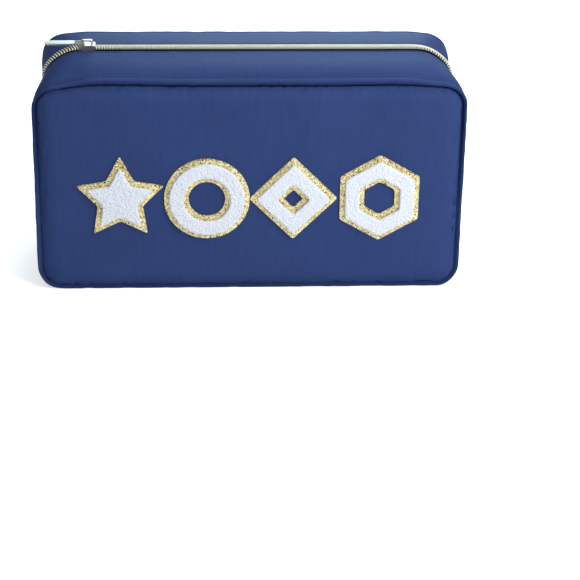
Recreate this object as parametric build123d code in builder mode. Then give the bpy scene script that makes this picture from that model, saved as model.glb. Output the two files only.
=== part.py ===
"""Zip-top fabric bag for a set of mahjong tiles.

X runs along the bag, -Y is its front and Z is up. The origin is the middle of the base, on the surface it stands on.
All sizes are in millimetres.
"""

import os
from functools import cache
from math import cos, hypot, pi

from build123d import *

# Outer form
panel_w = 280.0  # front and back panels, seam to seam
panel_h = 143.0
depth = 105.0  # between the front and back seams
corner_r = 18.0
zip_corner_r = 26.0  # rounder corners of the outline along the zip
ridge_rise = 8.0  # how far the zip stands above the top seams
side_draw = 2.0  # how far the middle of each side is drawn in from its seams
zip_flat = 8.0  # half width of the level band that carries the zip

# Layers, from the outside in
nylon_t = 0.8
foam_t = 2.0
lining_t = 0.5
layer_gap = 0.3  # between nylon and foam, and between pieces that move apart

# Zip
zip_end_drop = 61.0  # from the top seams down to the seams where the zip ends on both sides
coil_half_w = 3.0  # from the zip's centre line to the coil's outer edge
coil_gap = 1.0  # between the two coils, where the slider's divider passes
coil_h = 2.4
coil_spine_w = 1.3  # solid outer part of a coil, beside its teeth
tooth_pitch = 2.0
tooth_w = 1.1
tape_w = 15.0
tape_t = 0.6
slot_half = 5.0  # from the zip's centre line to the folded edge of the nylon
lining_edge = 7.0  # from the zip's centre line to the edge of the strip linings

# Slider
run_gap = 0.25  # clearance between the slider and the zip
slider_l = 11.0
park_gap = 0.5  # from the parked slider to the start of the left corner
flap_gap = 1.5  # from the parked slider to the stretch that folds open
shoulder_half = 4.7
shoulder_setback = 2.8  # from the nose to the widest place
rear_half = 4.1
nose_half = 3.3
plate_t = 1.0
plate_corner_r = 0.9
channel_half = coil_half_w + run_gap
divider_l = 3.0
divider_w = 0.5
crown_l = 7.6
crown_h = 2.9
crown_half = 1.3
crown_t = 0.9
crown_corner_r = 1.2
divider_setback = 0.6  # from the nose to the divider

# Pull tab
bar_r = 0.5
bar_play = 0.3  # how far the bar is from the crown's front post
tab_t = 1.1
tab_half = 3.5
tab_l = 26.0
arm_in = crown_half + 0.4
arm_out = arm_in + 0.9
tab_corner_r = 1.0

# Patches on the front panel
patch_pitch = 56.5
patch_drop = 77.5  # from the top seam to the patches' centres
ring_r = 28.0
diamond_r = 29.0  # centre to corner
hexagon_r = 30.0
star_r = 30.0
star_notch_r = 15.5
patch_corner_r = 1.5
glitter_t = 1.2
glitter_border = 3.3
pile_t = 3.0
pile_bevel = 0.9
stroke = 9.5  # width of the pile round the middle holes

# Insets of the layers under the outer faces
foam_out = nylon_t + layer_gap
foam_in = foam_out + foam_t
lining_in = foam_in + lining_t
tape_in = nylon_t + tape_t
strip_lining_in = tape_in + lining_t

# Depths of the layers behind the front seam, measured from the middle
nylon_y = depth / 2 - nylon_t
foam_y = depth / 2 - foam_in
lining_y = depth / 2 - lining_in

# The slider's run: it is parked at the left end of the zip's straight stretch, clear of the flaps
zip_half_w = panel_w / 2 - side_draw
slider_x = -(zip_half_w - zip_corner_r - park_gap - slider_l / 2)
flap_half = -slider_x - slider_l / 2 - flap_gap

# Heights at the zip
zip_end_z = panel_h - zip_end_drop
ridge_z = panel_h + ridge_rise
coil_low = ridge_z - nylon_t
coil_top = coil_low + coil_h
top_plate_z = coil_top + run_gap
crown_z = top_plate_z + plate_t
bottom_plate_z = ridge_z - tape_in - run_gap - plate_t
pivot_z = crown_z + run_gap + bar_r
pivot_x = slider_x - crown_l / 2 + crown_t + run_gap + bar_r + bar_play
crown_reach = hypot(slider_x + crown_l / 2 - pivot_x, crown_z + crown_h - pivot_z)
arm_l = crown_reach + run_gap  # long enough to swing over the whole crown

os.makedirs("parts", exist_ok=True)


def save(builder, label):
    builder.part.label = label
    export_step(builder.part, f"parts/{label}.step")


def seam_outline(inset):
    """Rounded rectangle of the panels, shrunk by the inset."""
    with Locations((0, panel_h / 2)):
        RectangleRounded(panel_w - 2 * inset, panel_h - 2 * inset, corner_r - inset)


def zip_outline(inset):
    """The bag's outline in the level band along the zip, shrunk by the inset."""
    with Locations((0, ridge_z / 2)):
        RectangleRounded(2 * (zip_half_w - inset), ridge_z - 2 * inset, zip_corner_r - inset)


@cache
def room(inset):
    """The space inside a skin that lies the inset under the bag's outer faces."""
    with BuildPart() as space:
        with BuildSketch(Plane.XZ.offset(zip_flat)):
            zip_outline(inset)
        extrude(amount=-2 * zip_flat)
        for side in (-1, 1):
            with BuildSketch(Plane.XZ.offset(side * (depth / 2 - inset))):
                seam_outline(inset)
            with BuildSketch(Plane.XZ.offset(side * zip_flat)):
                zip_outline(inset)
            loft(ruled=True)
    return space.part


def keep_between(x, y, z):
    """Cuts the part down to a range along each axis."""
    with Locations(((x[0] + x[1]) / 2, (y[0] + y[1]) / 2, (z[0] + z[1]) / 2)):
        Box(x[1] - x[0], y[1] - y[0], z[1] - z[0], mode=Mode.INTERSECT)


def sheet(label, outer, y):
    """A flat layer of a panel, between two depths."""
    with BuildPart() as layer:
        add(room(outer))
        keep_between(all_x, y, all_z)
    save(layer, label)


def band(label, outer, inner, x, y, z):
    """A stretch of a gusset layer, between two insets."""
    with BuildPart() as stretch:
        add(room(outer))
        add(room(inner), mode=Mode.SUBTRACT)
        keep_between(x, y, z)
    save(stretch, label)


reach = panel_w  # further out than anything on the bag
all_x = (-reach, reach)
all_z = (-reach, reach)

# Front and back panels with their padding and lining
for face, side in (("front", -1), ("back", 1)):
    sheet(f"{face}_panel", 0, sorted((side * depth / 2, side * nylon_y)))
    sheet(f"{face}_padding", foam_out, sorted((side * nylon_y, side * foam_y)))
    sheet(f"{face}_lining", foam_in, sorted((side * foam_y, side * lining_y)))

# Bottom gusset: up the left side, along the bottom and up the right side
below_zip = (-reach, zip_end_z)
band("bottom_gusset", 0, nylon_t, all_x, (-nylon_y, nylon_y), below_zip)
band("gusset_padding", foam_out, foam_in, all_x, (-foam_y, foam_y), below_zip)
band("gusset_lining", foam_in, lining_in, all_x, (-lining_y, lining_y), below_zip)

# Zip strips with their tapes, linings and coils: a middle stretch that folds open and two ends
stretches = {
    "middle": ((-flap_half, flap_half), layer_gap),
    "left_end": ((-reach, -flap_half - layer_gap), 0),
    "right_end": ((flap_half + layer_gap, reach), 0),
}
above_ends = (zip_end_z, reach)
for face, side in (("front", -1), ("back", 1)):
    for place, (x, gap) in stretches.items():
        nylon_range = sorted((side * slot_half, side * (nylon_y - gap)))
        lining_range = sorted((side * lining_edge, side * (lining_y - gap)))
        tape_range = sorted((side * coil_gap / 2, side * tape_w))
        coil_range = sorted((side * coil_gap / 2, side * coil_half_w))
        band(f"{face}_zip_strip_{place}", 0, nylon_t, x, nylon_range, above_ends)
        band(f"{face}_zip_lining_{place}", tape_in, strip_lining_in, x, lining_range, above_ends)
        band(f"{face}_zip_tape_{place}", nylon_t, tape_in, x, tape_range, above_ends)
        if place != "middle":
            band(f"{face}_coil_{place}", nylon_t - coil_h, nylon_t, x, coil_range, above_ends)

# Toothed coils of the middle stretch; the back one is set half a pitch along, so that the teeth alternate
tooth_l = coil_half_w - coil_gap / 2 - coil_spine_w
notch_count = int(2 * flap_half / tooth_pitch) - 1
for face, side in (("front", -1), ("back", 1)):
    with BuildPart() as coil:
        with BuildSketch(Plane.XY.offset(coil_low)):
            with Locations((0, side * (coil_half_w + coil_gap / 2) / 2)):
                Rectangle(2 * flap_half, coil_half_w - coil_gap / 2)
            with Locations((side * tooth_pitch / 4, side * (coil_gap + tooth_l) / 2)):
                with GridLocations(tooth_pitch, 0, notch_count, 1):
                    Rectangle(tooth_pitch - tooth_w, tooth_l, mode=Mode.SUBTRACT)
        extrude(amount=coil_h)
    save(coil, f"{face}_coil_middle")


def slider_outline():
    """The slider's plates from above: a blunt nose, wide shoulders and a narrower rear."""
    nose, rear = slider_x - slider_l / 2, slider_x + slider_l / 2
    Polygon(
        (nose, -nose_half),
        (nose + shoulder_setback, -shoulder_half),
        (rear, -rear_half),
        (rear, rear_half),
        (nose + shoulder_setback, shoulder_half),
        (nose, nose_half),
        align=None,
    )


# Slider body: two plates joined by the divider, flanges over the coils and a crown that holds the pull
with BuildPart() as slider_body:
    for height in (bottom_plate_z, top_plate_z):
        with BuildSketch(Plane.XY.offset(height)) as plate:
            slider_outline()
            fillet(plate.vertices(), radius=plate_corner_r)
        extrude(amount=plate_t)
    with BuildSketch(Plane.XY.offset(top_plate_z)) as flanges:
        slider_outline()
        fillet(flanges.vertices(), radius=plate_corner_r)
        with Locations((slider_x, 0)):
            Rectangle(2 * slider_l, 2 * channel_half, mode=Mode.SUBTRACT)
    extrude(amount=-(top_plate_z - coil_low - run_gap))
    divider_x = slider_x - slider_l / 2 + divider_setback + divider_l / 2
    with BuildSketch(Plane.XY.offset(bottom_plate_z + plate_t / 2)):
        with Locations((divider_x, 0)):
            SlotOverall(divider_l, divider_w)
    extrude(amount=top_plate_z - bottom_plate_z)
    with BuildSketch(Plane.XZ.offset(crown_half)) as arch:
        with Locations((slider_x, crown_z + crown_h / 2)):
            Rectangle(crown_l, crown_h)
        fillet(arch.vertices().group_by(Axis.Y)[-1], radius=crown_corner_r)
        with Locations((slider_x, crown_z + (crown_h - crown_t) / 2)):
            Rectangle(crown_l - 2 * crown_t, crown_h - crown_t, mode=Mode.SUBTRACT)
    extrude(amount=-2 * crown_half)
save(slider_body, "slider_body")

# Pull tab: a bar through the crown, two arms and a round-ended tongue, lying towards the left
with BuildPart() as pull_tab:
    with BuildSketch(Plane.XY.offset(pivot_z - tab_t / 2)) as tongue:
        with Locations((pivot_x - tab_l + tab_half, 0)):
            Circle(tab_half)
        with Locations((pivot_x - (arm_l + tab_l - tab_half) / 2, 0)):
            Rectangle(tab_l - tab_half - arm_l, 2 * tab_half)
        fillet(tongue.vertices().group_by(Axis.X)[-1], radius=tab_corner_r)
        for side in (-1, 1):
            with Locations((pivot_x - arm_l / 2, side * (arm_in + arm_out) / 2)):
                Rectangle(arm_l + tab_corner_r, arm_out - arm_in)
    extrude(amount=tab_t)
    with BuildSketch(Plane.XZ.offset(arm_out)):
        with Locations((pivot_x, pivot_z)):
            Circle(bar_r)
    extrude(amount=-2 * arm_out)
save(pull_tab, "pull_tab")


def patch(label, place, draw, hole):
    """A glitter backing and a raised pile, sewn on the front panel."""
    centre = (place * patch_pitch, panel_h - patch_drop)
    with BuildPart() as backing:
        with BuildSketch(Plane.XZ.offset(depth / 2)):
            with Locations(centre):
                add(draw(0))
                if hole:
                    add(draw(stroke + 2 * glitter_border), mode=Mode.SUBTRACT)
        extrude(amount=glitter_t)
    save(backing, f"{label}_patch_backing")
    with BuildPart() as pile:
        with BuildSketch(Plane.XZ.offset(depth / 2 + glitter_t)):
            with Locations(centre):
                add(draw(glitter_border))
                if hole:
                    add(draw(stroke + glitter_border), mode=Mode.SUBTRACT)
        extrude(amount=pile_t)
        chamfer(pile.faces().sort_by(Axis.Y)[0].edges(), length=pile_bevel)
    save(pile, f"{label}_patch_pile")


def draw_star(inset):
    """A star with its points and notches on two circles."""
    corners = [Vector(0, star_notch_r if k % 2 else star_r).rotate(Axis.Z, 36 * k) for k in range(10)]
    with BuildSketch() as shape:
        Polygon(*corners, align=None)
        fillet(shape.vertices(), radius=patch_corner_r)
        offset(amount=-inset, mode=Mode.REPLACE)
    return shape.sketch


def draw_disc(inset):
    with BuildSketch() as shape:
        Circle(ring_r - inset)
    return shape.sketch


def draw_diamond(inset):
    with BuildSketch() as shape:
        RegularPolygon(diamond_r - inset * 2**0.5, 4)
        fillet(shape.vertices(), radius=patch_corner_r)
    return shape.sketch


def draw_hexagon(inset):
    with BuildSketch() as shape:
        RegularPolygon(hexagon_r - inset / cos(pi / 6), 6, rotation=30)
        fillet(shape.vertices(), radius=patch_corner_r)
    return shape.sketch


patch("star", -1.5, draw_star, hole=False)
patch("ring", -0.5, draw_disc, hole=True)
patch("diamond", 0.5, draw_diamond, hole=True)
patch("hexagon", 1.5, draw_hexagon, hole=True)
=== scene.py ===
"""Zip-top fabric bag for a set of mahjong tiles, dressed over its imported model.

X runs along the bag, -Y is its front and Z is up, in metres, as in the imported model.
"""

from collections import namedtuple
from math import cos, pi, radians, sin, sqrt

import bmesh
import bpy
from bpy.props import FloatProperty, FloatVectorProperty, PointerProperty
from mathutils import Matrix, Vector, noise
from mathutils.kdtree import KDTree
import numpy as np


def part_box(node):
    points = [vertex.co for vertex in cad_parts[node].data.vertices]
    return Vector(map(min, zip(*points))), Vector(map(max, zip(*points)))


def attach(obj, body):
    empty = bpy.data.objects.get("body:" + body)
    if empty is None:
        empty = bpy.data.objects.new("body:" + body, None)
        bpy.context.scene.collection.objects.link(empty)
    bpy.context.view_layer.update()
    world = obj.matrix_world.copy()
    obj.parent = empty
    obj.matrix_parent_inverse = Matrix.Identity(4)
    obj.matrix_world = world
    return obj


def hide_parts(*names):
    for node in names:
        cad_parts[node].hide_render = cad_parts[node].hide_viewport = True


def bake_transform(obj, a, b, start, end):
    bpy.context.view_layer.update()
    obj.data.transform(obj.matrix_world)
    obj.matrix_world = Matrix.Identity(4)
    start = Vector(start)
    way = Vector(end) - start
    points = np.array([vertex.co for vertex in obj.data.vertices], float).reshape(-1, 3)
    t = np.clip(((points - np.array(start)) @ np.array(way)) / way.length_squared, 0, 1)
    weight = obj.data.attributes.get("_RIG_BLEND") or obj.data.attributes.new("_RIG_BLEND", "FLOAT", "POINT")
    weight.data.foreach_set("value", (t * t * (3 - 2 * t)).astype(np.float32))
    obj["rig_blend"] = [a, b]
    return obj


bl_info = {
    "name": "Mahjong tile bag",
    "version": (1, 0, 0),
    "blender": (4, 5, 0),
    "location": "View3D > Sidebar > Tile Bag",
    "description": "Builds a padded nylon zip bag with four chenille patches",
    "category": "Object",
}

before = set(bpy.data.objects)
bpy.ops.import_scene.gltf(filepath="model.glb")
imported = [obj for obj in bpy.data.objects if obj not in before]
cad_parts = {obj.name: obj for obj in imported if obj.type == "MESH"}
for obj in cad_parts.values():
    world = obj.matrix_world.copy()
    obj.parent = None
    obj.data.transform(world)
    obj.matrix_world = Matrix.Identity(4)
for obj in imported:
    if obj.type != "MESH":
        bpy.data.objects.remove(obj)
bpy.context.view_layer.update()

mm = 0.001
face_y = -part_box("front_panel")[0][1] / mm  # how far the panels' faces are from the middle
zip_end_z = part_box("bottom_gusset")[1][2] / mm
flap_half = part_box("front_zip_strip_middle")[1][0] / mm

# The bag's outer face from the seams to the zip, in mm: the distance behind the panel's face, then the half
# width, the lowest and highest point and the corner radius of the outline there, how far its top corners droop,
# and how much painted shade darkens the cloth there, from 0 to 1
Ring = namedtuple("Ring", "back half_w low high radius droop shade", defaults=(0.0,))
outer_face = [
    # Painted shade: the seam's crease, under the bulge, the topstitching's dip and the folded edge by the zip
    Ring(4.0, 137.0, 1.9, 141.5, 13.0, 2.2, 1.0),  # seam
    Ring(2.6, 137.9, 1.3, 142.2, 13.6, 2.8, 0.8),  # the gusset's edge bulges over the seam
    Ring(1.8, 138.8, 0.8, 143.2, 14.2, 3.6, 0.45),
    Ring(1.8, 139.5, 0.4, 144.2, 14.8, 4.4, 0.35),
    Ring(2.4, 140.0, 0.1, 145.0, 15.2, 5.0, 0.15),
    Ring(3.3, 140.2, 0.0, 145.6, 15.5, 5.2),  # ridge
    Ring(4.8, 140.2, 0.0, 145.9, 15.8, 5.2),
    Ring(6.6, 139.9, 0.1, 145.5, 16.2, 5.0, 0.15),
    Ring(7.6, 139.9, 0.05, 145.85, 16.5, 4.9, 0.12),
    Ring(8.6, 139.9, 0.0, 146.2, 16.8, 4.8, 0.1),
    Ring(10.3, 139.85, 0.0, 146.95, 17.3, 4.7, 0.05),
    Ring(12.0, 139.8, 0.0, 147.7, 17.8, 4.6),
    Ring(16.0, 139.6, 0.0, 148.9, 19.0, 4.4),
    Ring(20.0, 139.3, 0.0, 149.6, 20.0, 4.1),
    Ring(25.0, 138.9, 0.0, 150.2, 21.0, 3.9),
    Ring(30.0, 138.5, 0.0, 150.55, 21.8, 3.8),
    Ring(35.0, 138.1, 0.0, 150.8, 22.4, 3.7),
    Ring(40.0, 137.7, 0.0, 150.95, 22.8, 3.6),
    Ring(43.2, 137.6, 0.0, 151.0, 23.0, 3.6),
    Ring(44.3, 137.3, 0.0, 150.7, 23.0, 3.6, 0.45),  # pulled in by the topstitching
    Ring(45.4, 137.4, 0.0, 150.95, 23.0, 3.6),
    Ring(46.6, 137.3, 0.0, 150.85, 23.0, 3.6),
    Ring(47.2, 137.0, 0.0, 150.5, 23.0, 3.6, 0.4),
    Ring(47.5, 136.5, 0.0, 150.0, 23.0, 3.6, 1.0),  # folded edge beside the zip
]
zip_ring = Ring(face_y, 137.4, 0.0, 151.1, 23.0, 3.6)
slider_run = 108.0  # the zip is straight this far from the middle, for the slider
side_draw = 4.6  # how far the middle of each side falls in below its top corner
back_draw = 1.3  # how far the back's top corners fall in
stitch_y = 8.2  # from the middle of the zip to its topstitching
turn_outer, turn_inner = 48.4, 40.5  # the cloth of the mouth is bent between these when a flap is open
lining_lag = 1.2  # how much farther in the lining bends, so that it stays clear of the strip
lining_in, foam_in = 3.3, 1.0  # how deep the lining and the foam of the band lie under its outer face
lining_edge = 7.2  # from the middle of the zip to the lining's edge
band_l = 0.82  # the way round the bag, in metres
# How many cells there are in half of a straight side, across and up, and in half of a corner
Cells = namedtuple("Cells", "across up corner")
fine = Cells(96, 42, 20)
plain = Cells(30, 13, 8)


def length_property(name, description, default):
    return FloatProperty(name=name, description=description, default=default, unit="LENGTH")


class BagSizes(bpy.types.PropertyGroup):
    """Sizes of the bag's cloth, zip and patches"""

    nylon_t: length_property("Nylon", "Thickness of the outer cloth", 0.0008)
    lining_t: length_property("Lining", "Thickness of the lining", 0.0004)
    roll_w: length_property("Edge roll", "Width of the panels' rounded edge", 0.0105)
    pucker: length_property("Pucker", "Depth of the gathers beside the seams", 0.0006)
    wave: length_property("Wave", "Depth of the soft hollows in the cloth", 0.0005)
    end_seam: length_property("End seam", "Depth of the seams at the zip's two ends", 0.0008)
    tooth_pitch: length_property("Tooth pitch", "Distance between the zip's teeth", 0.00175)
    stitch_l: length_property("Stitch", "Length of a topstitch", 0.0024)
    stitch_pitch: length_property("Stitch pitch", "From one stitch to the next", 0.0032)
    thread_r: length_property("Thread", "Radius of the sewing thread", 0.00022)
    loop_size: length_property("Pile loop", "Size of the patches' yarn loops", 0.0015)


def colour_property(name, description, default):
    return FloatVectorProperty(
        name=name, description=description, default=default, subtype="COLOR", size=3, min=0, max=1
    )


class BagColours(bpy.types.PropertyGroup):
    """Colours of the bag's materials"""

    nylon: colour_property("Nylon", "Outer cloth", (0.0325, 0.054, 0.160))
    # Painted shade: the near-black the cloth turns to in the seams' creases and beside the zip
    painted_shade: colour_property("Painted seam shade", "Painted shade of the outer cloth in seams", (0.003, 0.005, 0.025))
    lining: colour_property("Lining", "Inner cloth", (0.014, 0.024, 0.075))
    # The tape's own dark navy, made darker still with painted shade of the gap beside the teeth
    tape: colour_property("Zip tape", "Woven tape beside the teeth", (0.004, 0.006, 0.018))
    # The thread's own navy, made darker with painted shade of the stitch holes
    thread: colour_property("Thread", "Topstitching", (0.012, 0.022, 0.09))
    foam: colour_property("Foam", "Padding", (0.62, 0.62, 0.58))
    coil: colour_property("Zip coil", "Outer side of the teeth", (0.97, 0.94, 0.78))
    # Painted shade on the teeth's sides, between one tooth and the next
    core: colour_property("Tooth side shade", "Painted shade on the teeth's sides", (0.12, 0.10, 0.045))
    tooth: colour_property("Tooth tips", "Inner side of the teeth", (0.62, 0.64, 0.66))
    metal: colour_property("Slider", "Slider and pull tab", (0.66, 0.58, 0.49))
    gold: colour_property("Glitter", "Edges of the patches", (0.72, 0.52, 0.22))
    pile: colour_property("Pile", "White yarn of the patches", (0.80, 0.80, 0.84))


# Shapes


def smaller(ring, inset):
    return ring._replace(
        half_w=ring.half_w - inset, low=ring.low + inset, high=ring.high - inset, radius=ring.radius - inset
    )


def sagged(x, y, z, droop):
    """Where the sag of the cloth takes a point of the outline; the point is in mm and the place in metres."""
    from_front, from_back = face_y + y, face_y - y
    top = min(max(z / 75 - 1, 0), 1)  # from nothing half way up to all of it at the top
    near_front = bell(from_front, 45)
    left_to_right = 1 if x < 0 else 1 - 0.4 * near_front
    front_to_back = 1 - 0.62 * bell(from_back, 46)
    towards_end = 1 - bell(abs(x) - slider_run + 10 * near_front, 28 + 6 * near_front)
    sunk = droop * left_to_right * front_to_back * towards_end * top
    bow = 1.2 if x < 0 else 0.6  # the front seam arches a little on both sides of its middle
    sunk -= bow * bell(abs(abs(x) - 88), 45) * bell(from_front, 12) * top
    fallen = 0
    if abs(x) > 100:
        fallen = side_draw * bell(abs(y), 42) * (1 - bell(146 - z, 26)) * bell(70 - z, 60)
    if y > 0:
        fallen += back_draw * bell(from_back, 40) * bell(128 - abs(x), 40)
        sunk -= bell(from_back, 26) * top
    return Vector((x - fallen if x > 0 else x + fallen, y, z - sunk)) * mm


def ring_at(y, inset=0.0):
    """The outline at a distance from the middle, moved inwards by the inset, in mm."""
    back = face_y - abs(y)
    rings = [ring for ring in outer_face[5:] if ring.back < face_y - stitch_y] + [zip_ring]
    for near, far in zip(rings, rings[1:]):
        if back <= far.back:
            break
    share = min(max((back - near.back) / (far.back - near.back), 0.0), 1.0)
    return smaller(Ring(*(a + (b - a) * share for a, b in zip(near, far))), inset)


def run_place(count, run, corner, half, radius):
    """How far along the straight run a count is, and its share of the corner."""
    sign = 1 if count > 0 else -1
    if abs(count) <= run:
        return count / run * (half - radius), 0.0
    share = (abs(count) - run) / corner
    return sign * (half - radius), sign * (1 - (1 - share) ** 1.5)


def outline_place(across, up, cells, ring, y):
    """Where a point of the square grid goes inside the rounded outline, in metres."""
    half_h = (ring.high - ring.low) / 2
    x, u = run_place(across, cells.across, cells.corner, ring.half_w, ring.radius)
    z, v = run_place(up, cells.up, cells.corner, half_h, ring.radius)
    x += ring.radius * u * sqrt(1 - v * v / 2)
    z += ring.radius * v * sqrt(1 - u * u / 2)
    z += ring.low + half_h
    return sagged(x, y, z, ring.droop)


def rounded_grid(cells, ring, y):
    """A flat sheet inside a rounded outline, facing the front, that knows each point's counts."""
    bm = bmesh.new()
    across, up = bm.verts.layers.int.new("across"), bm.verts.layers.int.new("up")
    n_x, n_z = cells.across + cells.corner, cells.up + cells.corner
    bmesh.ops.create_grid(bm, x_segments=2 * n_x, y_segments=2 * n_z, size=1)
    for v in bm.verts:
        v[across], v[up] = round(v.co.x * n_x), round(v.co.y * n_z)
        v.co = outline_place(v[across], v[up], cells, ring, y)
    return bm


def band(cells, rows):
    """A sheet that runs right round the bag, from row to row; a row is a distance and its outline."""
    bm = rounded_grid(cells, rows[0][1], rows[0][0])
    painted_shade = bm.verts.layers.float.new("painted_shade")
    across, up = bm.verts.layers.int["across"], bm.verts.layers.int["up"]
    # Each point takes its row's painted shade, stronger along the top
    for v in bm.verts:
        v[painted_shade] = rows[0][1].shade * painted_shade_strength(v.co.z)
    sheet = bm.faces[:]
    edges = [e for e in bm.edges if e.is_boundary]
    for y, ring in rows[1:]:
        grown = bmesh.ops.extrude_edge_only(bm, edges=edges)["geom"]
        edges = [g for g in grown if isinstance(g, bmesh.types.BMEdge) and g.is_boundary]
        for v in (g for g in grown if isinstance(g, bmesh.types.BMVert)):
            v.co = outline_place(v[across], v[up], cells, ring, y)
            v[painted_shade] = ring.shade * painted_shade_strength(v.co.z)
    bmesh.ops.delete(bm, geom=sheet, context="FACES")
    return bm


def steps_round(across, up, cells):
    """How many cells a point is along the outline, from the middle of the base."""
    n_x, n_z = cells.across + cells.corner, cells.up + cells.corner
    if up == -n_z:
        return across % (4 * n_x + 4 * n_z)
    if abs(across) == n_x:
        return n_x + n_z + up if across > 0 else 3 * n_x + 3 * n_z - up
    return 2 * n_x + 2 * n_z - across


def unwrap_band(bm, cells, rows):
    """Cloth coordinates in metres: along the outline and across the band."""
    across, up = bm.verts.layers.int["across"], bm.verts.layers.int["up"]
    cloth = bm.loops.layers.uv.new("cloth")
    round_it = 4 * (cells.across + cells.up + 2 * cells.corner)
    cell = band_l / round_it
    widths = {}
    width = 0.0
    for (y, ring), (y2, ring2) in zip(rows, rows[1:]):
        widths[round(y, 3)] = width
        width += Vector((y2 - y, ring2.high - ring.high)).length * mm
    widths[round(rows[-1][0], 3)] = width
    for f in bm.faces:
        counts = [steps_round(loop.vert[across], loop.vert[up], cells) for loop in f.loops]
        most = max(counts)
        for loop, count in zip(f.loops, counts):
            if most - count > round_it / 2:
                count += round_it
            near = min(widths, key=lambda y: abs(y - loop.vert.co.y / mm))
            loop[cloth].uv = (count * cell, widths[near])


def unwrap_flat(bm):
    cloth = bm.loops.layers.uv.new("cloth")
    for f in bm.faces:
        for loop in f.loops:
            loop[cloth].uv = (loop.vert.co.x, loop.vert.co.z)


def part_of(source, keep):
    """A copy of a band with only the faces whose middle passes the test."""
    bm = source.copy()
    gone = [f for f in bm.faces if not keep(f.calc_center_median() / mm)]
    bmesh.ops.delete(bm, geom=gone, context="FACES")
    return bm


def cut_at_height(bm, z):
    bmesh.ops.bisect_plane(
        bm, geom=bm.verts[:] + bm.edges[:] + bm.faces[:], plane_co=(0, 0, z * mm), plane_no=(0, 0, 1)
    )


def bell(distance, reach):
    """1 at no distance or a negative one, falling smoothly to 0 at the reach."""
    share = min(max(1 - distance / reach, 0.0), 1.0)
    return share * share * (3 - 2 * share)


def painted_shade_strength(z):
    """How strong the painted shade beside the seams is, strongest along the top."""
    return 1 - 0.7 * bell(z / mm - 50, 70)


def gather(point, size):
    """Small folds whose crests run away from a seam, from about -0.6 to 0.6."""
    return noise.noise(Vector((point.x, point.y * 0.2, point.z)) / size + Vector((3.1, 7.7, 1.3)))


def ripple_band(bm, sizes):
    """Gathers beside the seams and the zip, soft hollows between them, and the seams at the zip's ends."""
    bm.normal_update()
    moves = []
    for v in bm.verts:
        y = abs(v.co.y) / mm
        back = face_y - y
        by_seam = bell(abs(back - 2), 2.4) * gather(v.co, 8 * mm)
        by_zip = 0.4 * bell(abs(y - 11), 9) * gather(v.co, 6 * mm)
        hollow = noise.noise(v.co / 0.05 + Vector((5, 1, 2))) * bell(abs(back - 27), 22)
        lift = sizes.pucker * (by_seam + by_zip) + sizes.wave * hollow
        if abs(v.co.x) > 100 * mm:
            off_seam = abs(v.co.z / mm - zip_end_z)
            end_seam = sizes.end_seam * bell(y - 34, 12)
            lift += end_seam * (0.5 * bell(abs(off_seam - 2.4), 2.2) - bell(off_seam, 1.6))
        if v.co.z < 6 * mm:
            lift = min(lift, 0)
        moves.append((v, v.normal * lift))
    for v, move in moves:
        v.co += move


def make_wall(bm, thickness):
    """Gives a sheet a thickness, inwards from its face."""
    bm.normal_update()
    inwards = bm.verts.layers.float_vector.new("inwards")
    for v in bm.verts:
        v[inwards] = -thickness * v.normal
    grown = bmesh.ops.extrude_face_region(bm, geom=bm.faces[:], use_keep_orig=True)["geom"]
    for v in (g for g in grown if isinstance(g, bmesh.types.BMVert)):
        v.co += v[inwards]
    bm.verts.layers.float_vector.remove(bm.verts.layers.float_vector["inwards"])
    bmesh.ops.recalc_face_normals(bm, faces=bm.faces)
    if bm.calc_volume(signed=True) < 0:
        bmesh.ops.reverse_faces(bm, faces=bm.faces)


def link_piece(name, bm, *materials, thickness=0.0, smooth_angle=50):
    """A finished mesh as an object at the origin; a sheet is given its thickness first."""
    if thickness:
        make_wall(bm, thickness)
    mesh = bpy.data.meshes.new(name)
    bm.to_mesh(mesh)
    bm.free()
    for material in materials:
        mesh.materials.append(bpy.data.materials[material])
    mesh.shade_smooth()
    mesh.set_sharp_from_angle(angle=radians(smooth_angle))
    piece = bpy.data.objects.new(name, mesh)
    bpy.context.scene.collection.objects.link(piece)
    return piece


def follow_flap(piece, face, side):
    """Lets a half of the mouth turn with its flap, and stay with the bag at the zip's end."""
    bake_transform(piece, "bag", f"{face}_flap", start=(side * flap_half * mm, 0, 0.15), end=(0, 0, 0.15))


def bend_beside_seam(piece, face, side, lag):
    """Keeps the cloth sewn to the panel's edge there, and lets it turn with its flap farther in."""
    front = -1 if face == "front" else 1
    slope = Vector((-side / flap_half, -front / (turn_outer - turn_inner), 0)) / mm
    start = Vector((0, front * (turn_outer - lag), 150)) * mm
    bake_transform(piece, "bag", f"{face}_flap", start=start, end=start + slope / slope.length_squared)


def stands_for(face, layer, side):
    """The end and the middle stretch that a half of the mouth takes the place of."""
    place = "left_end" if side < 0 else "right_end"
    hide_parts(f"{face}_{layer}_{place}", f"{face}_{layer}_middle")


def in_mouth(piece, face, side, layer, lag=None):
    """Declares a sheet of the mouth; it turns with its flap, or is sewn to the panel if it is given a lag."""
    if lag is None:
        follow_flap(piece, face, side)
    else:
        bend_beside_seam(piece, face, side, lag)
    stands_for(face, layer, side)


def on_bag(piece, node):
    """Fixes a piece to the bag, in the place of its node."""
    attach(piece, "bag")
    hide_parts(node)


faces = (("front", -1), ("back", 1))
halves = [(face, front, where, side) for face, front in faces for where, side in (("left", -1), ("right", 1))]


# Materials


def add(tree, kind, inputs=None, **settings):
    """A shader node with its settings, and its inputs set to values or joined to other sockets."""
    node = tree.nodes.new("ShaderNode" + kind)
    for key, value in settings.items():
        setattr(node, key, value)
    for key, value in (inputs or {}).items():
        feed(tree, node.inputs[key], value)
    return node


def feed(tree, socket, value):
    """Joins a socket to another one, or gives it a value."""
    if isinstance(value, bpy.types.NodeSocket):
        tree.links.new(value, socket)
    else:
        socket.default_value = value


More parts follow.
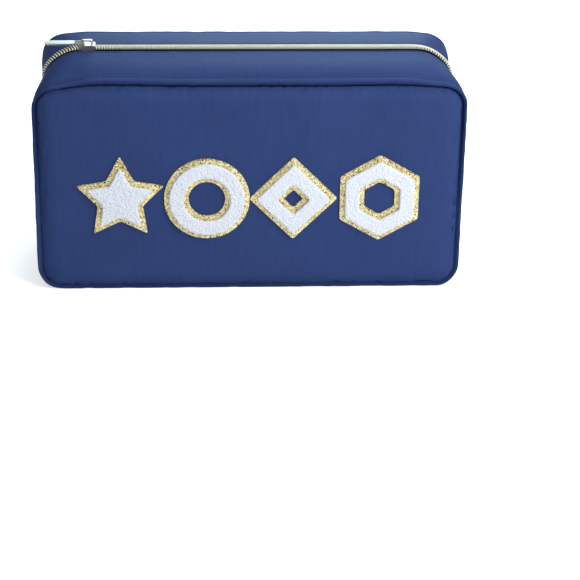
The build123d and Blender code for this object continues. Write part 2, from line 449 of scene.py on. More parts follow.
def maths(tree, operation, *values):
    node = add(tree, "Math", operation=operation)
    for slot, value in enumerate(values):
        feed(tree, node.inputs[slot], value)
    return node.outputs[0]


def mixed(tree, share, a, b):
    """Colour a where the share is 0 and b where it is 1."""
    node = add(tree, "Mix", data_type="RGBA")
    feed(tree, node.inputs[0], share)
    for slot, colour in ((6, a), (7, b)):
        feed(tree, node.inputs[slot], colour if isinstance(colour, bpy.types.NodeSocket) else (*colour[:3], 1))
    return node.outputs[2]


def object_place(tree):
    return add(tree, "TexCoord").outputs["Object"]


def bumped(tree, height, distance):
    """The normal of a surface that is raised by a height."""
    return add(tree, "Bump", {"Height": height, "Distance": distance}).outputs["Normal"]


def new_group(name, inputs, outputs):
    """An empty node group with its sockets, and its input and output nodes."""
    tree = bpy.data.node_groups.new(name, "ShaderNodeTree")
    for label, kind, default in inputs:
        socket = tree.interface.new_socket(label, in_out="INPUT", socket_type=kind)
        if default is not None:
            socket.default_value = default
    for label, kind in outputs:
        tree.interface.new_socket(label, in_out="OUTPUT", socket_type=kind)
    return tree, tree.nodes.new("NodeGroupInput").outputs, tree.nodes.new("NodeGroupOutput").inputs


def make_weave():
    """Crossing threads with a slant, and slow uneven streaks along both threads."""
    tree, given, out = new_group(
        "Weave",
        [
            ("Cloth", "NodeSocketVector", None),
            ("Threads per metre", "NodeSocketFloat", 1800.0),
            ("Streaks", "NodeSocketFloat", 0.5),
        ],
        [("Height", "NodeSocketFloat"), ("Shade", "NodeSocketFloat")],
    )
    turns = maths(tree, "MULTIPLY", given["Threads per metre"], 2 * pi)
    sides = add(tree, "SeparateXYZ", {"Vector": given["Cloth"]}).outputs
    warp = maths(tree, "SINE", maths(tree, "MULTIPLY", sides["X"], turns))
    slant = maths(tree, "ADD", sides["X"], maths(tree, "MULTIPLY", sides["Y"], 1.7))
    weft = maths(tree, "SINE", maths(tree, "MULTIPLY", slant, turns))
    threads = maths(tree, "MULTIPLY", warp, weft)
    along = add(tree, "Mapping", {"Vector": given["Cloth"], "Scale": (420.0, 60.0, 1.0)}).outputs[0]
    streak = add(tree, "TexNoise", {"Vector": along, "Scale": 1.0, "Detail": 3.0}).outputs["Fac"]
    patchy = add(tree, "TexNoise", {"Vector": given["Cloth"], "Scale": 26.0, "Detail": 4.0}).outputs["Fac"]
    uneven = maths(tree, "MULTIPLY", maths(tree, "ADD", streak, patchy), given["Streaks"])
    tree.links.new(maths(tree, "ADD", maths(tree, "MULTIPLY", threads, 0.35), uneven), out["Height"])
    tree.links.new(uneven, out["Shade"])


def make_wear():
    """Fine rubbed marks and smudges on metal."""
    tree, given, out = new_group(
        "Rubbed metal",
        [("Place", "NodeSocketVector", None), ("Amount", "NodeSocketFloat", 0.5)],
        [("Mask", "NodeSocketFloat")],
    )
    along = add(tree, "Mapping", {"Vector": given["Place"], "Scale": (300.0, 2200.0, 900.0)}).outputs[0]
    marks = add(tree, "TexNoise", {"Vector": along, "Scale": 1.0, "Detail": 4.0}).outputs["Fac"]
    smudge = add(tree, "TexNoise", {"Vector": given["Place"], "Scale": 160.0, "Detail": 2.0}).outputs["Fac"]
    mask = maths(tree, "MULTIPLY", maths(tree, "ADD", marks, smudge), given["Amount"])
    tree.links.new(mask, out["Mask"])


def grouped(tree, group, **inputs):
    node = tree.nodes.new("ShaderNodeGroup")
    node.node_tree = bpy.data.node_groups[group]
    for key, value in inputs.items():
        feed(tree, node.inputs[key.replace("_", " ")], value)
    return node.outputs


def start_material(name, **constants):
    """A material with its shader, whose plain values are set on the shader itself."""
    material = bpy.data.materials.new(name)
    material.use_nodes = True
    tree = material.node_tree
    shader = next(n for n in tree.nodes if n.type == "BSDF_PRINCIPLED")
    for key, value in constants.items():
        shader.inputs[key.replace("_", " ")].default_value = value
    return tree


def join(tree, **pairs):
    """Joins outputs to the shader's inputs by name."""
    shader = next(n for n in tree.nodes if n.type == "BSDF_PRINCIPLED")
    for key, socket in pairs.items():
        tree.links.new(socket, shader.inputs[key.replace("_", " ")])


def cloth_material(name, colour, painted_shade_colour, threads, streaks, relief, rough):
    """Woven cloth whose threads follow its own coordinates, with painted shade mixed in where its points are
    marked for it.
    """
    tree = start_material(name, Specular_IOR_Level=0.012)
    cloth = add(tree, "UVMap", uv_map="cloth").outputs["UV"]
    weave = grouped(tree, "Weave", Cloth=cloth, Threads_per_metre=threads, Streaks=streaks)
    dark, light = [c * 0.88 for c in colour], [min(c * 1.12, 1) for c in colour]
    shade = maths(tree, "MULTIPLY_ADD", weave["Shade"], 2.2, -0.6)
    # Painted shade: the cloth turns to the shade colour where its points are marked
    painted_shade_share = add(tree, "Attribute", attribute_name="painted_shade").outputs["Fac"]
    join(
        tree,
        Base_Color=mixed(tree, painted_shade_share, mixed(tree, shade, dark, light), painted_shade_colour),
        Roughness=maths(tree, "MULTIPLY_ADD", weave["Shade"], 0.12, rough - 0.06),
        Normal=bumped(tree, weave["Height"], relief),
    )


def grained_material(name, colour, dark, texture, output, settings, depth, **constants):
    """A material of one colour, raised and shaded by a fine texture."""
    tree = start_material(name, **constants)
    grain = add(tree, texture, {"Vector": object_place(tree), **settings}).outputs[output]
    join(
        tree,
        Base_Color=mixed(tree, grain, [c * dark for c in colour], colour),
        Normal=bumped(tree, grain, depth),
    )


def metal_material(name, colour, amount, rough):
    """Bare metal with rubbed marks."""
    tree = start_material(name, Metallic=1.0)
    worn = grouped(tree, "Rubbed metal", Place=object_place(tree), Amount=amount)["Mask"]
    join(
        tree,
        Base_Color=mixed(tree, worn, colour, [c * 0.7 for c in colour]),
        Roughness=maths(tree, "MULTIPLY_ADD", worn, 0.3, rough),
        Normal=bumped(tree, worn, 0.00004),
    )


def coil_material(colour):
    """Yarn with a metal sheen, warmer in its hollows."""
    tree = start_material("coil thread", Specular_IOR_Level=0.6)
    place = object_place(tree)
    yarn = add(tree, "TexNoise", {"Vector": place, "Scale": 700.0, "Detail": 3.0}).outputs["Fac"]
    warm = [colour[0] * 0.85, colour[1] * 0.80, colour[2] * 0.60]
    join(
        tree,
        Base_Color=mixed(tree, maths(tree, "MULTIPLY_ADD", yarn, 2.0, -0.5), warm, colour),
        Roughness=maths(tree, "MULTIPLY_ADD", yarn, 0.3, 0.25),
        Normal=bumped(tree, yarn, 0.0003),
    )


def glitter_material(gold):
    """Small flakes that face many ways, some dull and some bright."""
    tree = start_material("gold glitter")
    place = object_place(tree)
    grain = add(tree, "TexVoronoi", {"Vector": place, "Scale": 1500.0, "Randomness": 1.0})
    luck = add(tree, "SeparateColor", {"Color": grain.outputs["Color"]}).outputs
    dull = mixed(tree, maths(tree, "GREATER_THAN", luck[0], 0.88), gold, [c * 0.12 for c in gold])
    bright = [min(c * 1.3 + 0.25, 1) for c in gold]
    join(
        tree,
        Base_Color=mixed(tree, maths(tree, "GREATER_THAN", luck[2], 0.62), dull, bright),
        Metallic=maths(tree, "GREATER_THAN", luck[1], 0.45),
        Roughness=maths(tree, "MULTIPLY_ADD", luck[2], 0.3, 0.2),
        Normal=bumped(tree, luck[1], 0.0012),
    )


def chenille_material(pile):
    """Fuzzy yarn in tufts, with painted shade between them."""
    tree = start_material("white chenille", Roughness=0.85, Sheen_Weight=0.35, Sheen_Roughness=0.5)
    place = object_place(tree)
    tuft = add(tree, "TexVoronoi", {"Vector": place, "Scale": 750.0}).outputs["Distance"]
    fuzz = add(tree, "TexNoise", {"Vector": place, "Scale": 1400.0, "Detail": 4.0}).outputs["Fac"]
    both = maths(tree, "ADD", tuft, maths(tree, "MULTIPLY", fuzz, 0.6))
    shaded = [pile[0] * 0.82, pile[1] * 0.82, pile[2] * 0.88]
    join(
        tree,
        Base_Color=mixed(tree, maths(tree, "MULTIPLY_ADD", tuft, 1.2, -0.1), pile, shaded),
        Normal=bumped(tree, both, -0.0005),
    )


def make_materials(colours):
    make_weave()
    make_wear()
    # The colour of the painted shade in all the cloth
    painted_shade_colour = colours.painted_shade
    cloth_material("blue nylon", colours.nylon, painted_shade_colour, 1900.0, 0.5, 0.00008, 0.5)
    cloth_material("inner cloth", colours.lining, painted_shade_colour, 1500.0, 0.5, 0.00012, 0.6)
    cloth_material("zip tape weave", colours.tape, painted_shade_colour, 900.0, 0.4, 0.0003, 0.85)
    twist = {"Scale": 900.0, "Distortion": 1.0}
    grained_material(
        "sewing thread", colours.thread, 0.7, "TexWave", "Fac", twist, 0.0001, Roughness=0.55, Sheen_Weight=0.2
    )
    cells = {"Scale": 900.0}
    grained_material(
        "padding foam", colours.foam, 0.8, "TexVoronoi", "Distance", cells, 0.0004, Roughness=0.9
    )
    fibres = {"Scale": 1200.0, "Detail": 3.0}
    # Painted shade for the teeth's sides
    grained_material("painted tooth shade", colours.core, 0.5, "TexNoise", "Fac", fibres, 0.0002, Roughness=0.8)
    metal_material("tooth metal", colours.tooth, 0.4, 0.22)
    metal_material("slider metal", colours.metal, 0.5, 0.24)
    coil_material(colours.coil)
    glitter_material(colours.gold)
    chenille_material(colours.pile)


# Operators


class TILEBAG_OT_materials(bpy.types.Operator):
    """Makes the cloth, thread, metal, glitter and yarn materials"""

    bl_idname = "tilebag.materials"
    bl_label = "Materials"
    bl_options = {"REGISTER", "UNDO"}

    def execute(self, context):
        make_materials(context.scene.tilebag_colours)
        return {"FINISHED"}


class TILEBAG_OT_panels(bpy.types.Operator):
    """Makes the front and back panels, whose edges roll into the seams"""

    bl_idname = "tilebag.panels"
    bl_label = "Panels"
    bl_options = {"REGISTER", "UNDO"}

    def execute(self, context):
        sizes = context.scene.tilebag_sizes
        seam = outer_face[0]
        for face, front in faces:
            bm = rounded_grid(fine, seam, front * (face_y - seam.back))
            rim = [v.co.copy() for v in bm.verts if v.is_boundary]
            near_rim = KDTree(len(rim))
            for k, place in enumerate(rim):
                near_rim.insert(place, k)
            near_rim.balance()
            unwrap_flat(bm)
            # Painted shade in the seam's crease along the panel's rim, weaker low down
            painted_shade = bm.verts.layers.float.new("painted_shade")
            for v in bm.verts:
                edge = near_rim.find(v.co)[2]
                nick = max(gather(v.co, 2.4 * mm) - 0.15, 0.0) * 2.4  # the seam's painted shade is uneven
                v[painted_shade] = bell(edge, (1.0 + nick) * mm) * painted_shade_strength(v.co.z)
                raised = (1 - (1 - min(edge / sizes.roll_w, 1)) ** 1.8) * seam.back * mm
                pinch = max(gather(v.co, 4.5 * mm) - 0.05, 0.0) * 3 * bell(edge, 6 * mm)
                gathers = bell(abs(edge - 7 * mm), 8 * mm) * (0.3 + gather(v.co, 8 * mm))
                hollow = (0.5 + noise.noise(v.co / 0.06)) * bell(abs(edge - 35 * mm), 30 * mm)
                lift = raised - sizes.pucker * (min(pinch, edge / mm) + 0.4 * gathers) - sizes.wave * hollow
                if edge > 1e-6:  # the rim stays in the seam
                    v.co.y += front * min(lift, seam.back * mm)
            if front > 0:
                bmesh.ops.reverse_faces(bm, faces=bm.faces)
            piece = link_piece(f"{face}_panel_cloth", bm, "blue nylon", thickness=sizes.nylon_t)
            on_bag(piece, f"{face}_panel")
        return {"FINISHED"}


class TILEBAG_OT_gusset(bpy.types.Operator):
    """Makes the band round the bag: the bottom gusset and the zip strips"""

    bl_idname = "tilebag.gusset"
    bl_label = "Gusset and zip strips"
    bl_options = {"REGISTER", "UNDO"}

    def execute(self, context):
        sizes = context.scene.tilebag_sizes
        plain_rings = [ring for ring in outer_face if ring.back < face_y - stitch_y]
        rows = [(-(face_y - ring.back), ring) for ring in plain_rings]
        rows += [(0, zip_ring)] + [(-y, ring) for y, ring in reversed(rows)]
        bm = self.rippled(rows, sizes)
        keep_below = part_of(bm, lambda p: p.z < zip_end_z)
        bm.free()
        piece = link_piece("gusset_cloth", keep_below, "blue nylon", thickness=sizes.nylon_t)
        on_bag(piece, "bottom_gusset")
        for face, front, where, side in halves:
            bm = self.rippled([(front * (face_y - ring.back), ring) for ring in outer_face], sizes)
            if front > 0:
                bmesh.ops.reverse_faces(bm, faces=bm.faces)
            strip = part_of(bm, lambda p: p.z > zip_end_z and p.x * side > 0)
            bm.free()
            painted_shade = strip.verts.layers.float["painted_shade"]
            for v in strip.verts:
                if 0 < v.co.y < 8.5 * mm:
                    v[painted_shade] = 1.0  # painted shadow: the back strip's edge lies in the teeth's shadow
                if abs(abs(v.co.y) - turn_inner * mm) < 0.8 * mm:
                    v.co.y = front * turn_inner * mm  # the two parts of the strip keep together here
            name, under = f"{face}_zip_strip_{where}", f"{face}_panel_cloth"
            inner = part_of(strip, lambda p: abs(p.y) < turn_inner)
            piece = link_piece(name, inner, "blue nylon", thickness=sizes.nylon_t)
            in_mouth(piece, face, side, "zip_strip")
            outer = part_of(strip, lambda p: abs(p.y) > turn_inner)
            strip.free()
            piece = link_piece(f"{name}_edge", outer, "blue nylon", thickness=sizes.nylon_t)
            in_mouth(piece, face, side, "zip_strip", lag=0.0)
        return {"FINISHED"}

    def rippled(self, rows, sizes):
        """A band with its gathers, cut through along the seams at the zip's ends."""
        bm = band(fine, rows)
        unwrap_band(bm, fine, rows)
        for off_seam in (-3.6, -2.4, -1.2, 0, 1.2, 2.4, 3.6):
            cut_at_height(bm, zip_end_z + off_seam)
        ripple_band(bm, sizes)
        return bm


def soften(bm, edges, width):
    """Rounds edges off, by a width in mm."""
    bmesh.ops.bevel(
        bm, geom=edges, offset=width * mm, affect="EDGES", segments=2, profile=0.5, material=-1
    )


coil_materials = ("coil thread", "tooth metal", "painted tooth shade", "zip tape weave")


def tooth_shape():
    """One zip tooth of the back half, leaning towards the right end at its front."""
    wide, long, high = 1.1, 2.9, 1.6
    outer, tip, side = range(3)  # places in coil_materials
    bm = bmesh.new()
    bmesh.ops.create_cube(bm, size=1)
    bmesh.ops.scale(bm, vec=(wide * mm, long * mm, high * mm), verts=bm.verts)
    soften(bm, bm.edges[:], 0.3)
    bmesh.ops.translate(bm, vec=(0, 1.47 * mm, 0.94 * mm), verts=bm.verts)
    bm.normal_update()
    for f in bm.faces:
        middle = f.calc_center_median() / mm
        at_tip = middle.z < 0.2 or middle.y < 0.06
        # The sides facing the next teeth take the painted shade between the teeth
        f.material_index = tip if at_tip else side if abs(f.normal.x) > 0.9 else outer
    for v in bm.verts:
        v.co.x -= v.co.y * 0.4
        v.co.z -= 0.045 / mm * v.co.y**2
    mesh = bpy.data.meshes.new("tooth")
    bm.to_mesh(mesh)
    bm.free()
    return mesh


def place_copy(bm, mesh, place):
    """Adds a copy of a small mesh, moved to its place."""
    moved = mesh.copy()
    moved.transform(place)
    bm.from_mesh(moved)
    bpy.data.meshes.remove(moved)


def zip_route():
    """The zip's line: its length, and a function from a distance along it to a place and turn."""
    ring = zip_ring
    rise = ring.high - ring.radius - zip_end_z
    arc = ring.radius * pi / 2
    flat = 2 * (ring.half_w - ring.radius)
    total = 2 * rise + 2 * arc + flat

    def at(s):
        mirror = s > total / 2
        if mirror:
            s = total - s
        if s < rise:
            x, z, turn = -ring.half_w, zip_end_z + s, pi / 2
        elif s < rise + arc:
            turn = pi / 2 - (s - rise) / ring.radius
            x = -ring.half_w + ring.radius - ring.radius * sin(turn)
            z = ring.high - ring.radius + ring.radius * cos(turn)
        else:
            x, z, turn = -ring.half_w + ring.radius + s - rise - arc, ring.high, 0.0
        if mirror:
            x, turn = -x, -turn
        return Matrix.Translation(sagged(x, 0, z, ring.droop)) @ Matrix.Rotation(-turn, 4, "Y")

    return total, at


class TILEBAG_OT_zip(bpy.types.Operator):
    """Makes the zip's tapes and toothed coils"""

    bl_idname = "tilebag.zip"
    bl_label = "Zip"
    bl_options = {"REGISTER", "UNDO"}

    def execute(self, context):
        total, at = zip_route()
        pitch = context.scene.tilebag_sizes.tooth_pitch / mm
        tooth = tooth_shape()
        for face, front, where, side in halves:
            # Under the strip, and then beside the teeth, low enough for the slider's lower plate
            rows = [(14, ring_at(14, 1.0)), (10, ring_at(10, 1.15))]
            rows += [(y, smaller(zip_ring, 1.1)) for y in (6.5, 0.6)]
            rows = [(front * y, ring) for y, ring in rows]
            tape = self.half_band(rows, side)
            if front > 0:
                bmesh.ops.reverse_faces(tape, faces=tape.faces)
            name = f"{face}_zip_tape_half_{where}"
            piece = link_piece(name, tape, "zip tape weave", thickness=0.5 * mm)
            in_mouth(piece, face, side, "zip_tape")

            # The cord inside the teeth, by its distance from the middle and its depth
            profile = [(0.3, 1.2), (2.6, 1.2), (2.6, 0.8), (2.2, 0.1), (1.2, -0.4), (0.3, -0.5), (0.3, 1.2)]
            coil = self.half_band([(front * y, smaller(zip_ring, inset)) for y, inset in profile], side)
            bmesh.ops.remove_doubles(coil, verts=coil.verts, dist=1e-6)
            bmesh.ops.holes_fill(coil, edges=[e for e in coil.edges if e.is_boundary])
            bmesh.ops.recalc_face_normals(coil, faces=coil.faces)
            for f in coil.faces:
                f.material_index = coil_materials.index("zip tape weave")
            half_turn = Matrix.Rotation(pi, 4, "Z") if front < 0 else Matrix()
            for k in range(int(total / 2 / pitch - 0.5)):
                place_copy(coil, tooth, at(total / 2 + side * (k + 0.5) * pitch) @ half_turn)
            piece = link_piece(f"{face}_zip_coil_{where}", coil, *coil_materials)
            follow_flap(piece, face, side)
            stands_for(face, "coil", side)
        return {"FINISHED"}

    def half_band(self, rows, side):
        """The left or right half of a band above the seams at the zip's ends."""
        bm = band(fine, rows)
        unwrap_band(bm, fine, rows)
        cut_at_height(bm, zip_end_z)
        half = part_of(bm, lambda p: p.z > zip_end_z and p.x * side > 0)
        bm.free()
        return half


class TILEBAG_OT_stitching(bpy.types.Operator):
    """Sews the topstitching along both sides of the zip"""

    bl_idname = "tilebag.stitching"
    bl_label = "Topstitching"
    bl_options = {"REGISTER", "UNDO"}

    def execute(self, context):
        sizes = context.scene.tilebag_sizes
        total, at = zip_route()
        stitch = bmesh.new()
        bmesh.ops.create_cone(
            stitch,
            cap_ends=True,
            segments=6,
            radius1=sizes.thread_r,
            radius2=sizes.thread_r,
            depth=sizes.stitch_l,
        )
        for end in [f for f in stitch.faces if abs(f.normal.z) > 0.9]:
            bmesh.ops.inset_region(stitch, faces=[end], thickness=sizes.thread_r * 0.5)
            bmesh.ops.translate(stitch, vec=end.normal * sizes.thread_r * 0.4, verts=end.verts)
        bmesh.ops.rotate(stitch, matrix=Matrix.Rotation(pi / 2, 3, "Y"), verts=stitch.verts)
        mesh = bpy.data.meshes.new("stitch")
        stitch.to_mesh(mesh)
        stitch.free()
        pitch = sizes.stitch_pitch / mm
        for face, front, where, side in halves:
            row = bmesh.new()
            lift = Matrix.Translation(Vector((0, front * stitch_y, -0.15)) * mm)
            for k in range(int(total / 2 / pitch)):
                place_copy(row, mesh, at(total / 2 + side * (k + 0.5) * pitch) @ lift)
            follow_flap(link_piece(f"{face}_topstitching_{where}", row, "sewing thread"), face, side)
        return {"FINISHED"}


class TILEBAG_OT_lining(bpy.types.Operator):
    """Makes the lining of the panels, the gusset and the zip strips"""

    bl_idname = "tilebag.lining"
    bl_label = "Lining"
    bl_options = {"REGISTER", "UNDO"}

    def execute(self, context):
        thickness = context.scene.tilebag_sizes.lining_t
        slack = 1.2 * mm
        for face, front in faces:
            bm = rounded_grid(plain, Ring(0, 135.0, 4.6, 138.4, 13.0, 2.2), front * (face_y - 3.2))
            unwrap_flat(bm)
            for v in bm.verts:
                v.co.y -= front * slack * (0.5 + 0.5 * noise.noise(v.co / 0.05 + Vector((9, 2, 4))))
            if front < 0:
                bmesh.ops.reverse_faces(bm, faces=bm.faces)
            piece = link_piece(f"{face}_lining_cloth", bm, "inner cloth", thickness=thickness)
            on_bag(piece, f"{face}_lining")
        split = turn_inner - lining_lag
        across = (48.9, 46.3, 44.1, 42.3, 40.7, split, 36, 32, 26, 20, 14, 10, lining_edge)
        rows = [(-y, ring_at(y, lining_in)) for y in across]
        rows += [(-y, ring) for y, ring in reversed(rows)]
        bm = band(plain, rows)
        unwrap_band(bm, plain, rows)
        bmesh.ops.reverse_faces(bm, faces=bm.faces)
        cut_at_height(bm, zip_end_z)
        lower = part_of(bm, lambda p: p.z < zip_end_z)
        piece = link_piece("gusset_lining_cloth", lower, "inner cloth", thickness=thickness)
        on_bag(piece, "gusset_lining")
        for face, front, where, side in halves:
            strip = part_of(bm, lambda p: p.z > zip_end_z and p.y * front > lining_edge and p.x * side > 0)
            name = f"{face}_zip_lining_{where}"
            inner = part_of(strip, lambda p: abs(p.y) < split)
            piece = link_piece(name, inner, "inner cloth", thickness=thickness)
            in_mouth(piece, face, side, "zip_lining")
            outer = part_of(strip, lambda p: abs(p.y) > split)
            strip.free()
            piece = link_piece(f"{name}_edge", outer, "inner cloth", thickness=thickness)
            in_mouth(piece, face, side, "zip_lining", lag=lining_lag)
        bm.free()
        return {"FINISHED"}


class TILEBAG_OT_padding(bpy.types.Operator):
    """Makes the foam between the nylon and the lining"""

    bl_idname = "tilebag.padding"
    bl_label = "Padding"
    bl_options = {"REGISTER", "UNDO"}

    def execute(self, context):
        for face, front in faces:
            bm = rounded_grid(plain, Ring(0, 130.0, 9.0, 134.5, 12.0, 2.2), front * (face_y - 1.5))
            if front > 0:
                bmesh.ops.reverse_faces(bm, faces=bm.faces)
            self.place(link_piece(f"{face}_foam", bm, "padding foam", thickness=1.5 * mm), face)
        bm = band(plain, [(y, ring_at(y, foam_in)) for y in range(-44, 45, 8)])
        top = zip_end_z - 3
        cut_at_height(bm, top)
        lower = part_of(bm, lambda p: p.z < top)
        bm.free()
        self.place(link_piece("gusset_foam", lower, "padding foam", thickness=1.6 * mm), "gusset")
        return {"FINISHED"}

    def place(self, piece, where):
        on_bag(piece, f"{where}_padding")


def ring_corners(radius, count, first):
    turns = (first + 2 * pi * k / count for k in range(count))
    return [Vector((radius * cos(turn), radius * sin(turn))) for turn in turns]


def star_corners():
    corners = (Vector((0, 15.5 if k % 2 else 30.0)) for k in range(10))
    return [corner @ Matrix.Rotation(2 * pi * k / 10, 2) for k, corner in enumerate(corners)]


patch_z = 65.5  # the middle of the patches, above the base
patch_corner_r = 1.5
# The corners of each patch, and whether it is open in the middle
patch_forms = {
    "star": (star_corners, False),
    "ring": (lambda: ring_corners(28.0, 72, 0), True),
    "diamond": (lambda: ring_corners(29.0, 4, 0), True),
    "hexagon": (lambda: ring_corners(30.0, 6, pi / 6), True),
}


def outline_loop(corners, inset, centre, y):
    """A flat face with rounded corners, moved in from the corners' outline."""
    bm = bmesh.new()
    bm.faces.new([bm.verts.new((centre.x + c.x * mm, y * mm, centre.y + c.y * mm)) for c in corners])
    bmesh.ops.recalc_face_normals(bm, faces=bm.faces)
    if inset:
        rim = bmesh.ops.inset_region(
            bm, faces=bm.faces[:], thickness=inset * mm, use_even_offset=True, use_boundary=True
        )["faces"]
        bmesh.ops.delete(bm, geom=rim, context="FACES")
    if len(corners) < 12:  # a circle's corners stay as they are
        offset = patch_corner_r * mm
        bmesh.ops.bevel(
            bm, geom=bm.verts[:], offset=offset, affect="VERTICES", segments=4, profile=0.5, material=-1
        )
    return bm


def patch_slab(corners, outer, inner, thickness, centre, y):
    """A flat shape, or a ring of it, of a thickness towards the front."""
    bm = outline_loop(corners, outer, centre, y)
    if inner:
        hole = outline_loop(corners, inner, centre, y)
        mesh = bpy.data.meshes.new("hole")
        hole.to_mesh(mesh)
        hole.free()
        bm.from_mesh(mesh)
        bmesh.ops.delete(bm, geom=bm.faces[:], context="FACES_ONLY")
        bmesh.ops.bridge_loops(bm, edges=bm.edges[:])
    for f in bm.faces:
        f.normal_update()
        if f.normal.y > 0:
            f.normal_flip()
    grown = bmesh.ops.extrude_face_region(bm, geom=bm.faces[:])["geom"]
    verts = [g for g in grown if isinstance(g, bmesh.types.BMVert)]
    bmesh.ops.translate(bm, vec=(0, -thickness * mm, 0), verts=verts)
    bmesh.ops.recalc_face_normals(bm, faces=bm.faces)
    return bm


def fleece(name, bm, sizes, back_y):
    """A slab remeshed into small faces, with its surface raised into yarn loops."""
    mesh = bpy.data.meshes.new(name)
    bm.to_mesh(mesh)
    bm.free()
    blank = bpy.data.objects.new(name + "_blank", mesh)
    bpy.context.scene.collection.objects.link(blank)
    remesh = blank.modifiers.new("remesh", "REMESH")
    remesh.mode = "VOXEL"
    remesh.voxel_size = 0.6 * mm
    shown = blank.evaluated_get(bpy.context.evaluated_depsgraph_get())
    pile = bmesh.new()
    pile.from_mesh(shown.to_mesh())
    shown.to_mesh_clear()
    bpy.data.objects.remove(blank)
    bpy.data.meshes.remove(mesh)
    for _ in range(2):
        bmesh.ops.smooth_vert(
            pile, verts=pile.verts, factor=0.5, use_axis_x=True, use_axis_y=True, use_axis_z=True
        )
    pile.normal_update()
    moves = []
    for v in pile.verts:
        tuft = noise.voronoi(v.co / sizes.loop_size)[0][0]
        rise = (0.45 - tuft) * 0.5 * mm + 0.12 * mm * noise.noise(v.co / 0.004)
        share = min(max((back_y * mm - v.co.y) / (0.8 * mm), 0.0), 1.0)
        moves.append((v, v.normal * rise * share))
    for v, move in moves:
        v.co += move
        v.co.y = min(v.co.y, back_y * mm)
    return pile


class TILEBAG_OT_patches(bpy.types.Operator):
    """Makes the four patches: a glitter backing and a white pile each"""

    bl_idname = "tilebag.patches"
    bl_label = "Patches"
    bl_options = {"REGISTER", "UNDO"}

    def execute(self, context):
        sizes = context.scene.tilebag_sizes
        border, stroke = 3.3, 9.5  # widths of the glitter edge and of the pile, in mm
        for name, (corners, hollow) in patch_forms.items():
            low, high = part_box(f"{name}_patch_backing")
            centre = Vector(((low[0] + high[0]) / 2, patch_z * mm))
            backing_y, pile_y = high[1] / mm, low[1] / mm
            hole = stroke + 2 * border if hollow else 0
            bm = patch_slab(corners(), 0, hole, backing_y - pile_y, centre, backing_y)
            area = sum(f.calc_area() for f in bm.faces if f.normal.y < -0.9)
            rim = [
                e
                for e in bm.edges
                if all(v.co.y < low[1] + 0.1 * mm for v in e.verts)
                and len(e.link_faces) == 2
                and e.calc_face_angle() > 0.5
            ]
            soften(bm, rim, 0.3)
            piece = link_piece(f"{name}_glitter", bm, "gold glitter", smooth_angle=35)
            on_bag(piece, f"{name}_patch_backing")
            pile_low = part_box(f"{name}_patch_pile")[0][1] / mm
            hole = stroke + border if hollow else 0
            slab = patch_slab(corners(), border, hole, pile_y - pile_low, centre, pile_y)
            pile = fleece(f"{name}_pile", slab, sizes, pile_y)
            piece = link_piece(f"{name}_chenille", pile, "white chenille", smooth_angle=180)
            on_bag(piece, f"{name}_patch_pile")
        return {"FINISHED"}


class TILEBAG_OT_slider(bpy.types.Operator):
    """Gives the slider and its pull tab their metal"""

    bl_idname = "tilebag.slider"
    bl_label = "Slider and pull"
    bl_options = {"REGISTER", "UNDO"}

    def execute(self, context):
        for name in ("slider_body", "pull_tab"):
            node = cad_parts[name]
            node.data.materials.clear()
            node.data.materials.append(bpy.data.materials["slider metal"])
        return {"FINISHED"}


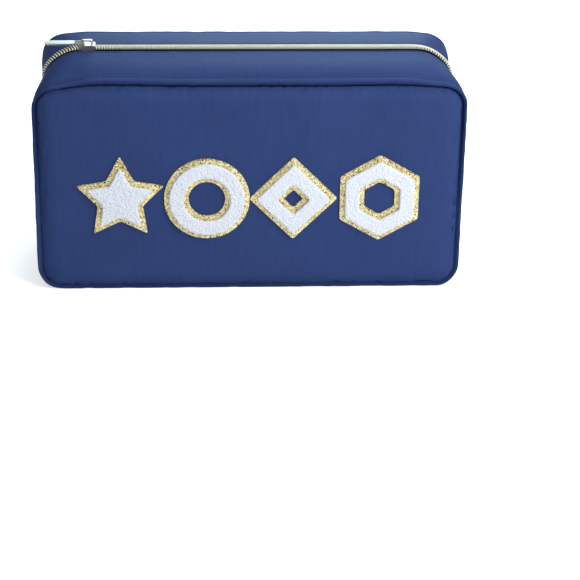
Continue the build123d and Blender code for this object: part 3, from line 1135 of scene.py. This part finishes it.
class TILEBAG_OT_stage(bpy.types.Operator):
    """Sets the floor, the lights and the camera"""

    bl_idname = "tilebag.stage"
    bl_label = "Stage"
    bl_options = {"REGISTER", "UNDO"}

    def execute(self, context):
        scene = context.scene
        scene.view_settings.view_transform = "Standard"
        grey, white = (0.9, 0.9, 0.9, 1), (1, 1, 1, 1)
        tree = start_material("floor", Base_Color=grey, Roughness=0.9, Emission_Color=white)
        seen = add(tree, "LightPath").outputs["Is Camera Ray"]
        join(tree, Emission_Strength=maths(tree, "MULTIPLY_ADD", seen, 0.5, 0.12))
        bm = bmesh.new()
        bmesh.ops.create_grid(bm, x_segments=1, y_segments=1, size=8)
        floor = link_piece("floor", bm, "floor")

        world = bpy.data.worlds.new("studio")
        world.use_nodes = True
        scene.world = world
        tree = world.node_tree
        tree.nodes.clear()
        rays = add(tree, "LightPath").outputs
        seen = maths(tree, "MAXIMUM", rays["Is Camera Ray"], rays["Is Transmission Ray"])
        room = add(tree, "Background", {"Color": (0.93, 0.97, 1.0, 1), "Strength": 0.25}).outputs[0]
        plain_white = add(tree, "Background", {"Color": white, "Strength": 1.0}).outputs[0]
        chosen = add(tree, "MixShader", {0: seen, 1: room, 2: plain_white}).outputs[0]
        add(tree, "OutputWorld", {"Surface": chosen})

        aim = Vector((0, 0, 0.08))
        daylight, sky = (0.9, 0.97, 1.0), (0.6, 0.84, 1.0)
        for name, place, size, power, colour in (
            ("overhead", (0.1, -0.1, 0.9), 0.5, 3.3, daylight),
            ("key", (0.48, -0.6, 0.6), 0.4, 7.0, daylight),
            ("rear", (0.15, 1.2, 0.5), 0.6, 12, sky),
        ):
            lamp = bpy.data.lights.new(name, "AREA")
            lamp.color = colour
            lamp.size = size
            lamp.energy = power
            holder = bpy.data.objects.new(name, lamp)
            holder.location = place
            holder.rotation_euler = (aim - Vector(place)).to_track_quat("-Z", "Y").to_euler()
            scene.collection.objects.link(holder)

        # The camera's place, turn and lens are fitted to the closed picture
        azimuth, elevation, roll = radians(3.399), radians(25.299), radians(0.982)
        ahead = Vector((sin(azimuth) * cos(elevation), cos(azimuth) * cos(elevation), -sin(elevation)))
        level = ahead.cross(Vector((0, 0, 1))).normalized()
        upward = level.cross(ahead)
        right = cos(roll) * level + sin(roll) * upward
        up = -sin(roll) * level + cos(roll) * upward
        lens = bpy.data.cameras.new("camera")
        lens.sensor_width = 36
        lens.lens = 121.63
        lens.clip_start = 0.05
        camera = bpy.data.objects.new("camera", lens)
        turn = Matrix((right, up, -ahead)).transposed().to_4x4()
        camera.matrix_world = Matrix.Translation((-0.043169, -1.236494, 0.55942)) @ turn
        scene.collection.objects.link(camera)
        scene.camera = camera
        return {"FINISHED"}


class TILEBAG_PT_sidebar(bpy.types.Panel):
    """Lists the bag's sizes, colours and steps"""

    bl_idname = "TILEBAG_PT_sidebar"
    bl_label = "Tile Bag"
    bl_space_type = "VIEW_3D"
    bl_region_type = "UI"
    bl_category = "Tile Bag"

    def draw(self, context):
        for group in (context.scene.tilebag_sizes, context.scene.tilebag_colours):
            for name in group.__annotations__:
                self.layout.prop(group, name)
        for step in steps:
            self.layout.operator(step.bl_idname)


steps = (
    TILEBAG_OT_stage,
    TILEBAG_OT_materials,
    TILEBAG_OT_panels,
    TILEBAG_OT_gusset,
    TILEBAG_OT_zip,
    TILEBAG_OT_stitching,
    TILEBAG_OT_lining,
    TILEBAG_OT_padding,
    TILEBAG_OT_patches,
    TILEBAG_OT_slider,
)
classes = (BagSizes, BagColours, *steps, TILEBAG_PT_sidebar)


def register():
    for c in classes:
        bpy.utils.register_class(c)
    bpy.types.Scene.tilebag_sizes = PointerProperty(type=BagSizes)
    bpy.types.Scene.tilebag_colours = PointerProperty(type=BagColours)


def unregister():
    del bpy.types.Scene.tilebag_sizes
    del bpy.types.Scene.tilebag_colours
    for c in reversed(classes):
        bpy.utils.unregister_class(c)


def main():
    register()
    bpy.ops.tilebag.stage()
    bpy.ops.tilebag.materials()
    bpy.ops.tilebag.panels()
    bpy.ops.tilebag.gusset()
    bpy.ops.tilebag.zip()
    bpy.ops.tilebag.stitching()
    bpy.ops.tilebag.lining()
    bpy.ops.tilebag.padding()
    bpy.ops.tilebag.patches()
    bpy.ops.tilebag.slider()


if __name__ == "__main__":
    main()
